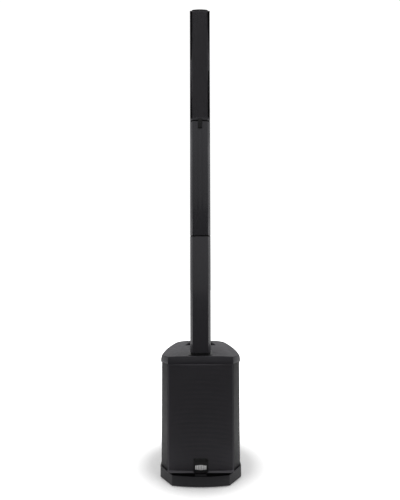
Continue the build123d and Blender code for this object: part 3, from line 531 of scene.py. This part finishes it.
# ---------------------------------------------------------------- settings
class LoudspeakerSettings(bpy.types.PropertyGroup):
    """Sizes and colours that a user would change."""

    casing_colour: bpy.props.FloatVectorProperty(
        name="Cabinet", description="Colour of the cabinet", subtype="COLOR", size=3,
                                                 default=(0.0123, 0.012, 0.0142))
    cap_colour: bpy.props.FloatVectorProperty(
        name="Top cap", description="Colour of the top cap", subtype="COLOR", size=3,
                                              default=(0.042, 0.0408, 0.0475))
    plinth_colour: bpy.props.FloatVectorProperty(
        name="Plinth", description="Colour of the plinth", subtype="COLOR", size=3,
                                                 default=(0.0198, 0.0192, 0.0222))
    column_colour: bpy.props.FloatVectorProperty(
        name="Column", description="Colour of the column", subtype="COLOR", size=3,
                                                 default=(0.053, 0.0515, 0.0595))
    grille_colour: bpy.props.FloatVectorProperty(
        name="Grilles", description="Colour of the grilles", subtype="COLOR", size=3,
                                                 default=(0.08, 0.077, 0.087))
    base_pitch: bpy.props.FloatProperty(
        name="Base hole pitch", description="Distance between the holes of the base grille", default=0.006,
                                        unit="LENGTH")
    array_pitch: bpy.props.FloatProperty(
        name="Array hole pitch", description="Distance between the holes of the array grille",
                                         default=0.0044, unit="LENGTH")
    floor_size: bpy.props.FloatProperty(
        name="Floor", description="Width of the studio floor", default=40.0, unit="LENGTH")


# ---------------------------------------------------------------- pieces
class LOUDSPEAKER_OT_casing(bpy.types.Operator):
    """Finishes the plinth, cabinet, top cap, handle cup, feet and the collar of the column"""

    bl_idname = "loudspeaker.casing"
    bl_label = "Base casing"

    def execute(self, context):
        dressed("plinth", plinth_finish(), 0.0008, 3)
        dressed("rubber_feet", rubber_finish(), 0.0005)
        dressed("cabinet_shell", shell_finish(), 0.0012, 3)
        dressed("top_cap", cap_finish(), 0.0006, 2)
        dressed("handle_cup", dark_finish(), 0.0008)
        dressed("column_socket", trim_finish(), 0.0006)
        pins = dressed("socket_pins", dark_finish(), 0.0)
        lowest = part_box("socket_pins")[0].z
        touch_up(pins, brass_finish(), lambda c, n: c.z > lowest + 0.0095)
        return {"FINISHED"}


class LOUDSPEAKER_OT_base_grille(bpy.types.Operator):
    """Makes the perforated grille of the base with its pressed border"""

    bl_idname = "loudspeaker.base_grille"
    bl_label = "Base grille"

    def execute(self, context):
        low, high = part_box("woofer_grille")
        front, margin = low.y - 0.004, 0.006
        inside = Vector((margin - 0.0008, 0, margin - 0.0008))
        sheet = honeycomb("woofer_grille_mesh", low + inside, high - inside, front, props().base_pitch,
                          0.0022)
        drape(sheet, "woofer_grille")
        modify(sheet, "SOLIDIFY", thickness=0.0011, offset=-1.0)
        cloth = backing("woofer_grille_cloth", low + inside, high - inside, front, "woofer_grille", 0.0022,
                        24)
        rim = grille_rim("woofer_grille_border", low, high, margin, front, high.y, "woofer_grille", 0.0014,
                         40)
        painted(sheet, grille_finish())
        painted(rim, grille_finish())
        mount(rim, "base")
        mount(join("woofer_grille_mesh", [sheet, cloth]), "base", "woofer_grille")
        return {"FINISHED"}


class LOUDSPEAKER_OT_badge(bpy.types.Operator):
    """Finishes the badge plate and its plain bar emblem"""

    bl_idname = "loudspeaker.badge"
    bl_label = "Badge"

    def execute(self, context):
        dressed("badge_plate", trim_finish(), 0.0004)
        dressed("badge_emblem", white_finish(), 0.0003)
        return {"FINISHED"}


class LOUDSPEAKER_OT_woofer(bpy.types.Operator):
    """Finishes the woofer, the baffle, the ports and the brace behind the grille"""

    bl_idname = "loudspeaker.woofer"
    bl_label = "Woofer and baffle"

    def execute(self, context):
        pulp = surface("coated_paper", (0.02, 0.02, 0.02), 0.62, grain=500.0, bump=0.00012, mottle=0.25)
        cloth = surface("treated_cloth", (0.42, 0.27, 0.09), 0.8, grain=1400.0, bump=0.0001, sheen=0.3)
        ferrite = surface("ferrite", (0.03, 0.03, 0.032), 0.55, grain=600.0, bump=0.00006, mottle=0.2)
        steel = surface("sprayed_steel", (0.015, 0.015, 0.016), 0.4, grain=1200.0, bump=0.00004)
        dressed("front_baffle", black_board_finish(), 0.0008)
        dressed("port_tubes", trim_finish(), 0.0004)
        dressed("cabinet_brace", board_finish(), 0.0008)
        dressed("woofer_basket", steel, 0.0005)
        magnet = dressed("woofer_magnet", bright_finish(), 0.0006)
        touch_up(magnet, ferrite, lambda c, n: -0.0848 < c.y < -0.0644)
        dressed("woofer_surround", rubber_finish(), 0.0)
        dressed("woofer_spider", cloth, 0.0)
        dressed("woofer_cone", pulp, 0.0)
        return {"FINISHED"}


class LOUDSPEAKER_OT_control_panel(bpy.types.Operator):
    """Finishes the control panel and heat sink, with the lines across the panel and the dividing lines"""

    bl_idname = "loudspeaker.control_panel"
    bl_label = "Control panel"

    def execute(self, context):
        panel = surface("panel_paint", (0.016, 0.016, 0.0175), 0.42, grain=1500.0, bump=0.00004, mottle=0.1)
        fins = surface("black_anodised", (0.03, 0.03, 0.033), 0.36, grain=900.0, bump=0.00003, metallic=0.85,
                       stretch=(1, 1, 0.06))
        dressed("control_panel", panel, 0.0006)
        dressed("heat_sink", fins, 0.0004)
        marks = [bar("panel_lines", (0.15, 0.0002, 0.0006), Vector((0, PANEL_FACE, z))) for z in (0.234,
                                                                                                  0.338,
                                                                                                  0.364)]
        marks += [bar("divider", (0.0006, 0.0002, 0.088), Vector((x, PANEL_FACE, 0.286))) for x in (0.043,
                                                                                                    0.005,
                                                                                                    -0.035)]
        lines = painted(join("panel_lines", marks), white_finish())
        mount(lines, "base")
        return {"FINISHED"}


class LOUDSPEAKER_OT_connectors(bpy.types.Operator):
    """Finishes the mains inlet and the signal connectors"""

    bl_idname = "loudspeaker.connectors"
    bl_label = "Connectors"

    def execute(self, context):
        inlet = dressed("mains_inlet", trim_finish(), 0.0003)
        touch_up(inlet, bright_finish(),
                 lambda c, n: 0.1835 < c.y < 0.1991 and self.near(c, "mains_inlet", 0.0095, 0.0055))
        jacks = dressed("combo_jacks", trim_finish(), 0.0003)
        dressed("line_jacks", trim_finish(), 0.0003)
        output = dressed("xlr_output", trim_finish(), 0.0003)
        touch_up(output, brass_finish(),
                 lambda c, n: 0.1835 < c.y < 0.1985 and self.near(c, "xlr_output", 0.0062, 0.0062))
        touch_up(jacks, bright_finish(), lambda c, n: c.y < 0.1955 and n.y > 0.9)
        plates = []
        for node, count in (("combo_jacks", 2), ("xlr_output", 1)):
            low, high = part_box(node)
            for place in range(count):
                x = low.x + 0.013 + place * (high.x - low.x - 0.026)
                tab = bar("release_tabs", (0.008, 0.0008, 0.0022), Vector((x, high.y, high.z - 0.0026)))
                plates.append(painted(soften(tab, 0.0002, 1), bright_finish()))
                for side in (-1, 1):
                    spot = Vector((x + side * 0.0105, 0, (low.z + high.z) / 2 + side * 0.0128))
                    plates.append(painted(rod("screw_head", 0.0016, high.y - 0.0004, high.y + 0.0004, spot,
                                              16), steel_finish()))
        tabs = join("release_tabs", plates)
        mount(tabs, "base")
        return {"FINISHED"}

    def near(self, point, node, wide, tall):
        """Whether a point lies about the middle of a node."""
        middle = sum(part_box(node), Vector()) / 2
        return abs(point.x - middle.x) < wide and abs(point.z - middle.z) < tall


class LOUDSPEAKER_OT_knobs(bpy.types.Operator):
    """Makes the knobs with flutes, skirts and pointer lines, and the scales around them"""

    bl_idname = "loudspeaker.knobs"
    bl_label = "Knobs"

    def execute(self, context):
        first = self.fluted("channel_1_knob", 11)
        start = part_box("channel_1_knob")[0]
        for node in ("channel_2_knob", "channel_3_knob", "master_knob"):
            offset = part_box(node)[0] - start
            mount(copy_of(first[0], node + "_turned", offset), node, node)
            mount(copy_of(first[1], node + "_scale", offset), "base")
        mount(first[0], "channel_1_knob", "channel_1_knob")
        mount(first[1], "base")
        menu = self.fluted("menu_knob", 25)
        mount(menu[0], "menu_knob", "menu_knob")
        mount(menu[1], "base")
        return {"FINISHED"}

    def fluted(self, node, marks):
        """One knob and the scale around it, at the place of a node."""
        low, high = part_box(node)
        middle = (low + high) / 2
        skirt = (high.x - low.x) / 2
        radius, foot, top = skirt - 0.0016, 0.2008, high.y
        grip = rod(node + "_turned", radius, foot, top - 0.0002, middle, 48)
        step = radians(7.5)
        pick(grip, lambda c, n: abs(n.y) < 0.5
             and int((atan2(c.x - middle.x, c.z - middle.z) + pi) / step) % 4 == 0)
        bpy.ops.mesh.inset(thickness=radius * 0.022, depth=-radius * 0.07, use_individual=True)
        pick(grip, lambda c, n: n.y > 0.9 and c.y > top - 0.0004)
        bpy.ops.mesh.inset(thickness=radius * 0.16, depth=0)
        bpy.ops.mesh.inset(thickness=radius * 0.05, depth=-0.0004)
        leave()
        soften(grip, 0.0002, 1)
        collar = soften(rod("skirt", skirt, foot, foot + 0.0022, middle, 48), 0.0006, 2)
        shaft = rod("shaft", 0.003, low.y, foot + 0.0002, middle, 20)
        pointer = bar("pointer", (0.0013, 0.0009, radius * 0.78),
                      Vector((middle.x, top - 0.0006, middle.z + radius * 0.52)))
        for piece in (grip, collar):
            painted(piece, knob_finish())
        painted(shaft, bright_finish())
        painted(pointer, white_finish())
        scale = bar(node + "_scale", (0.0005, 0.0002, 0.002),
                    Vector((middle.x, PANEL_FACE, middle.z - skirt - 0.0024)))
        sweep = 300 if marks < 20 else 345
        self.around(scale, marks, sweep, middle)
        return join(node + "_turned", [grip, collar, shaft, pointer]), painted(scale, white_finish())

    def around(self, scale, marks, sweep, middle):
        """Repeats one mark around the knob, with the gap at the bottom."""
        centre = (middle.x, 0.2, middle.z)
        edit(scale)
        bpy.ops.mesh.select_all(action="SELECT")
        bpy.ops.transform.rotate(value=radians((360 - sweep) / 2), orient_axis="Y", center_override=centre)
        for mark in range(marks - 1):
            bpy.ops.mesh.duplicate()
            bpy.ops.transform.rotate(value=radians(sweep / (marks - 1)), orient_axis="Y",
                                     center_override=centre)
        leave()


class LOUDSPEAKER_OT_switches(bpy.types.Operator):
    """Finishes the power switch, push buttons, display and status lamps"""

    bl_idname = "loudspeaker.switches"
    bl_label = "Switches and display"

    def execute(self, context):
        grey = surface("grey_button", (0.2, 0.2, 0.205), 0.5, grain=1200.0, bump=0.00003)
        dressed("switch_frame", trim_finish(), 0.0003)
        dressed("power_rocker", trim_finish(), 0.0006)
        for node in ("pair_button", "mute_button", "mode_button"):
            dressed(node, grey, 0.0004)
        dressed("display_window", tinted_glass("smoked_window", (0.5, 0.53, 0.56)), 0.0003)
        lamps = dressed("status_leds", glowing("green_lamp", (0.1, 0.8, 0.2), 1.0), 0.0002)
        touch_up(lamps, glowing("red_lamp", (0.8, 0.05, 0.03), 0.6), lambda c, n: c.x < -0.066)
        touch_up(lamps, glowing("blue_lamp", (0.08, 0.25, 0.9), 1.0), lambda c, n: c.x > -0.042)
        self.display()
        self.rocker_marks()
        return {"FINISHED"}

    def display(self):
        """The lit screen behind the window: four level columns and a row of settings."""
        low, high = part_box("display_window")
        middle = (low + high) / 2
        back = low.y - 0.0006
        screen = bar("display_screen", (0.06, 0.0004, 0.034), Vector((middle.x, back, middle.z)))
        painted(screen, surface("screen_black", (0.008, 0.012, 0.02), 0.3, grain=500.0, bump=0.0))
        cells = []
        for column, height in enumerate((7, 5, 6, 4)):
            for row in range(height):
                place = Vector((middle.x + 0.02 - column * 0.0075, back + 0.0003,
                                middle.z - 0.012 + row * 0.003))
                cells.append(bar("cell", (0.005, 0.0002, 0.0018), place))
        for row in range(3):
            place = Vector((middle.x - 0.0185, back + 0.0003, middle.z + 0.009 - row * 0.009))
            cells.append(bar("cell", (0.016, 0.0002, 0.0045), place))
        lit = painted(join("display_cells", cells), glowing("lit_cell", (0.5, 0.75, 0.95), 1.6))
        whole = join("display_screen", [screen, lit])
        mount(whole, "base")

    def rocker_marks(self):
        """The plain line and ring for on and off, on the two halves of the rocker."""
        low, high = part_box("power_rocker")
        middle = (low + high) / 2
        line = bar("rocker_marks", (0.0012, 0.0003, 0.004), Vector((middle.x, 0.20425, middle.z - 0.0062)))
        only_none()
        bpy.ops.mesh.primitive_torus_add(major_radius=0.002, minor_radius=0.00035, major_segments=24,
                                         minor_segments=6,
                                         location=(middle.x, 0.20325, middle.z + 0.0062),
                                         rotation=(radians(90), 0, 0))
        ring = settle(bpy.context.object)
        marks = join("rocker_marks", [painted(line, white_finish()), painted(ring, white_finish())])
        mount(marks, "power_rocker")


class LOUDSPEAKER_OT_electronics(bpy.types.Operator):
    """Finishes the boards and the mains transformer inside"""

    bl_idname = "loudspeaker.electronics"
    bl_label = "Electronics"

    def execute(self, context):
        mask = surface("solder_mask", (0.01, 0.09, 0.03), 0.35, grain=300.0, bump=0.00002, mottle=0.2)
        chip = surface("component_black", (0.015, 0.015, 0.017), 0.45, grain=800.0, bump=0.00002)
        tape = surface("winding_tape", (0.55, 0.36, 0.03), 0.35, grain=200.0, bump=0.00008, mottle=0.12)
        board = dressed("amplifier_board", chip, 0.0003)
        touch_up(board, mask, lambda c, n: c.y > 0.16595)
        supply = dressed("power_supply", chip, 0.0004)
        touch_up(supply, bright_finish(), lambda c, n: c.y > 0.1199)
        touch_up(supply, tape, lambda c, n: c.y < 0.1199 and c.x < 0.016)
        return {"FINISHED"}


class LOUDSPEAKER_OT_spacers(bpy.types.Operator):
    """Finishes the two spacers with their plugs, sockets and wiring"""

    bl_idname = "loudspeaker.spacers"
    bl_label = "Spacers"

    def execute(self, context):
        for spacer in ("lower_spacer", "upper_spacer"):
            dressed(spacer + "_tube", column_finish(), 0.0005)
            dressed(spacer + "_plug", dark_finish(), 0.0004)
            dressed(spacer + "_socket", dark_finish(), 0.0004)
            wiring = dressed(spacer + "_wiring", rubber_finish(), 0.0)
            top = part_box(spacer + "_wiring")[1].z
            touch_up(wiring, brass_finish(), lambda c, n: c.z > top - 0.0155)
        dressed("latch_button", trim_finish(), 0.0003)
        return {"FINISHED"}


class LOUDSPEAKER_OT_array(bpy.types.Operator):
    """Finishes the array housing with its end mouldings, baffle and drivers"""

    bl_idname = "loudspeaker.array"
    bl_label = "Array"

    def execute(self, context):
        pulp = surface("coated_paper", (0.02, 0.02, 0.02), 0.62, grain=500.0, bump=0.00012, mottle=0.25)
        steel = surface("sprayed_steel", (0.015, 0.015, 0.016), 0.4, grain=1200.0, bump=0.00004)
        dressed("array_housing", column_finish(), 0.0005)
        dressed("array_top_cap", plinth_finish(), 0.0005)
        dressed("array_plug", dark_finish(), 0.0004)
        dressed("array_wiring", rubber_finish(), 0.0)
        dressed("array_baffle", black_board_finish(), 0.0003)
        dressed("array_drivers", steel, 0.0003)
        dressed("array_surrounds", rubber_finish(), 0.0)
        dressed("array_cones", pulp, 0.0)
        return {"FINISHED"}


class LOUDSPEAKER_OT_array_grille(bpy.types.Operator):
    """Makes the perforated grille of the array"""

    bl_idname = "loudspeaker.array_grille"
    bl_label = "Array grille"

    def execute(self, context):
        low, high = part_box("array_grille")
        front, margin, fold, slope_depth = low.y - 0.004, 0.0022, 0.0335, 0.014
        slope_width = high.x - fold
        slope = sqrt(slope_width ** 2 + slope_depth ** 2)
        hem = Vector((0.0001, 0, 0.0001))
        inside = Vector((fold + slope - 0.0022, 0, high.z - low.z - 2 * margin + 0.001))
        middle = (low + high) / 2
        flat_low = Vector((-inside.x, 0, middle.z - inside.z / 2))
        flat_high = Vector((inside.x, 0, middle.z + inside.z / 2))
        sheet = honeycomb("array_grille_mesh", flat_low, flat_high, front, props().array_pitch, 0.0017)
        fold_lines(sheet, fold)
        draw_in_wings(sheet, fold, slope_width / slope)
        drape(sheet, "array_grille")
        modify(sheet, "SOLIDIFY", thickness=0.0009, offset=-1.0)
        cloth = backing("array_grille_cloth", low + 12 * hem, high - 12 * hem, front, "array_grille",
                        0.0019, 12, fold)
        rim = grille_rim("array_grille_border", low + hem, high - hem, margin - 0.0006, front, high.y,
                         "array_grille", 0.0012,
                         12, fold)
        painted(sheet, grille_finish())
        painted(rim, grille_finish())
        mount(rim, "array")
        mount(join("array_grille_mesh", [sheet, cloth]), "array", "array_grille")
        return {"FINISHED"}


class LOUDSPEAKER_OT_screws(bpy.types.Operator):
    """Finishes the screws"""

    bl_idname = "loudspeaker.screws"
    bl_label = "Screws"

    def execute(self, context):
        for node in ("base_screws", "woofer_screws", "array_screws", "panel_screws"):
            dressed(node, steel_finish(), 0.00015, 1)
        return {"FINISHED"}


class LOUDSPEAKER_OT_stage(bpy.types.Operator):
    """Adds the pale floor, the soft lights and the camera"""

    bl_idname = "loudspeaker.stage"
    bl_label = "Studio"

    def execute(self, context):
        scene = context.scene
        scene.view_settings.view_transform = "Standard"
        only_none()
        bpy.ops.mesh.primitive_plane_add(size=props().floor_size, location=(0, 0, 0))
        floor = context.object
        floor.name = "studio_floor"
        paper = surface("floor_paper_painted_shade", (0.93, 0.93, 0.93), 0.9, grain=40.0, bump=0.0, mottle=0.0,
                        specular=0.1)
        # The floor's glow is dimmed around the base: a painted shade under the object.
        self.floor_glow_with_painted_shade(paper)
        painted(floor, paper)
        self.sky(scene)
        self.softbox("overhead_light", (0.0, 0.7, 4.2), (0.0, 0.1, 0.0), 3.6, 3.6, 88.0)
        self.softbox("left_light", (-3.0, 0.95, 1.75), (0.0, -0.1, 1.1), 1.0, 2.6, 5.2)
        self.softbox("right_light", (3.0, 0.95, 1.6), (0.0, -0.1, 1.0), 1.0, 2.6, 8.6)
        camera = bpy.data.objects.new("camera", bpy.data.cameras.new("camera"))
        scene.collection.objects.link(camera)
        camera.data.sensor_width = 36.0
        camera.data.lens = 29.585
        camera.location = (-0.0014, -1.9496, 0.8655)
        level = Matrix.Rotation(radians(90) + 0.0585, 4, "X")
        camera.rotation_euler = (level @ Matrix.Rotation(-0.0023, 4, "Z")).to_euler()
        scene.camera = camera
        return {"FINISHED"}

    def floor_glow_with_painted_shade(self, paper):
        """Lets the floor fade into the white backdrop, its glow dimmed near the object as painted shade, and
        keeps the part in front from lighting things.
        """
        tree = paper.node_tree
        shader = tree.nodes["Principled BSDF"]
        shader.inputs["Emission Color"].default_value = (1, 1, 1, 1)
        place = tree.nodes.new("ShaderNodeTexCoord")
        reach = node_of(tree, "ShaderNodeVectorMath", operation="LENGTH")
        # Painted shade: the floor's glow is only 0.1 within 0.225 m of the object's middle and full past 0.455
        # m.
        fade = node_of(tree, "ShaderNodeMapRange", From_Min=0.225, From_Max=0.455, To_Min=0.1, To_Max=1.0)
        split = tree.nodes.new("ShaderNodeSeparateXYZ")
        near = node_of(tree, "ShaderNodeMapRange", From_Min=-0.42, From_Max=-0.2, To_Min=0.03, To_Max=0.9)
        path = tree.nodes.new("ShaderNodeLightPath")
        shown = node_of(tree, "ShaderNodeMath", operation="MAXIMUM")
        level = node_of(tree, "ShaderNodeMath", operation="MULTIPLY")
        white = node_of(tree, "ShaderNodeMix", data_type="RGBA")
        white.inputs[6].default_value = (0, 0, 0, 1)
        white.inputs[7].default_value = (0.93, 0.93, 0.93, 1)
        tree.links.new(place.outputs["Object"], reach.inputs[0])
        tree.links.new(place.outputs["Object"], split.inputs["Vector"])
        tree.links.new(reach.outputs["Value"], fade.inputs["Value"])
        tree.links.new(split.outputs["Y"], near.inputs["Value"])
        tree.links.new(path.outputs["Is Camera Ray"], shown.inputs[0])
        tree.links.new(near.outputs["Result"], shown.inputs[1])
        tree.links.new(fade.outputs["Result"], level.inputs[0])
        tree.links.new(shown.outputs["Value"], level.inputs[1])
        tree.links.new(shown.outputs["Value"], white.inputs[0])
        tree.links.new(level.outputs["Value"], shader.inputs["Emission Strength"])
        tree.links.new(white.outputs[2], shader.inputs["Base Color"])

    def sky(self, scene):
        """A plain white studio: white to the camera, and dimmer in front of the object than behind it."""
        world = bpy.data.worlds.new("studio")
        scene.world = world
        world.use_nodes = True
        tree = world.node_tree
        tree.nodes.clear()
        output = tree.nodes.new("ShaderNodeOutputWorld")
        path = tree.nodes.new("ShaderNodeLightPath")
        seen = node_of(tree, "ShaderNodeBackground", Color=(1, 1, 1, 1), Strength=1.05)
        lit = node_of(tree, "ShaderNodeBackground", Color=(1, 1, 1, 1))
        place = tree.nodes.new("ShaderNodeTexCoord")
        split = tree.nodes.new("ShaderNodeSeparateXYZ")
        depth = node_of(tree, "ShaderNodeMapRange", From_Min=-0.9, From_Max=0.6, To_Min=0.48, To_Max=0.5)
        mix = tree.nodes.new("ShaderNodeMixShader")
        tree.links.new(place.outputs["Generated"], split.inputs["Vector"])
        tree.links.new(split.outputs["Y"], depth.inputs["Value"])
        tree.links.new(depth.outputs["Result"], lit.inputs["Strength"])
        tree.links.new(path.outputs["Is Camera Ray"], mix.inputs["Fac"])
        tree.links.new(lit.outputs["Background"], mix.inputs[1])
        tree.links.new(seen.outputs["Background"], mix.inputs[2])
        tree.links.new(mix.outputs["Shader"], output.inputs["Surface"])

    def softbox(self, name, place, target, width, height, power):
        """A large soft light aimed at a point."""
        lamp = bpy.data.lights.new(name, "AREA")
        lamp.shape = "RECTANGLE"
        lamp.size, lamp.size_y, lamp.energy = width, height, power
        holder = bpy.data.objects.new(name, lamp)
        bpy.context.scene.collection.objects.link(holder)
        holder.location = place
        holder.rotation_euler = (Vector(target) - Vector(place)).to_track_quat("-Z", "Y").to_euler()


class LOUDSPEAKER_PT_pieces(bpy.types.Panel):
    """Lists the pieces in the sidebar"""

    bl_idname = "LOUDSPEAKER_PT_pieces"
    bl_label = "Column loudspeaker"
    bl_space_type = "VIEW_3D"
    bl_region_type = "UI"
    bl_category = "Loudspeaker"

    def draw(self, context):
        for name in LoudspeakerSettings.__annotations__:
            self.layout.prop(context.scene.loudspeaker, name)
        for operator in OPERATORS:
            self.layout.operator(operator.bl_idname)


OPERATORS = (
    LOUDSPEAKER_OT_casing,
    LOUDSPEAKER_OT_base_grille,
    LOUDSPEAKER_OT_badge,
    LOUDSPEAKER_OT_woofer,
    LOUDSPEAKER_OT_control_panel,
    LOUDSPEAKER_OT_connectors,
    LOUDSPEAKER_OT_knobs,
    LOUDSPEAKER_OT_switches,
    LOUDSPEAKER_OT_electronics,
    LOUDSPEAKER_OT_spacers,
    LOUDSPEAKER_OT_array,
    LOUDSPEAKER_OT_array_grille,
    LOUDSPEAKER_OT_screws,
    LOUDSPEAKER_OT_stage,
)
CLASSES = (LoudspeakerSettings, *OPERATORS, LOUDSPEAKER_PT_pieces)


def register():
    for cls in CLASSES:
        bpy.utils.register_class(cls)
    bpy.types.Scene.loudspeaker = bpy.props.PointerProperty(type=LoudspeakerSettings)


def unregister():
    del bpy.types.Scene.loudspeaker
    for cls in reversed(CLASSES):
        bpy.utils.unregister_class(cls)


def main():
    """Builds every piece in order."""
    register()
    for operator in OPERATORS:
        group, name = operator.bl_idname.split(".")
        getattr(getattr(bpy.ops, group), name)()


if __name__ == "__main__":
    main()
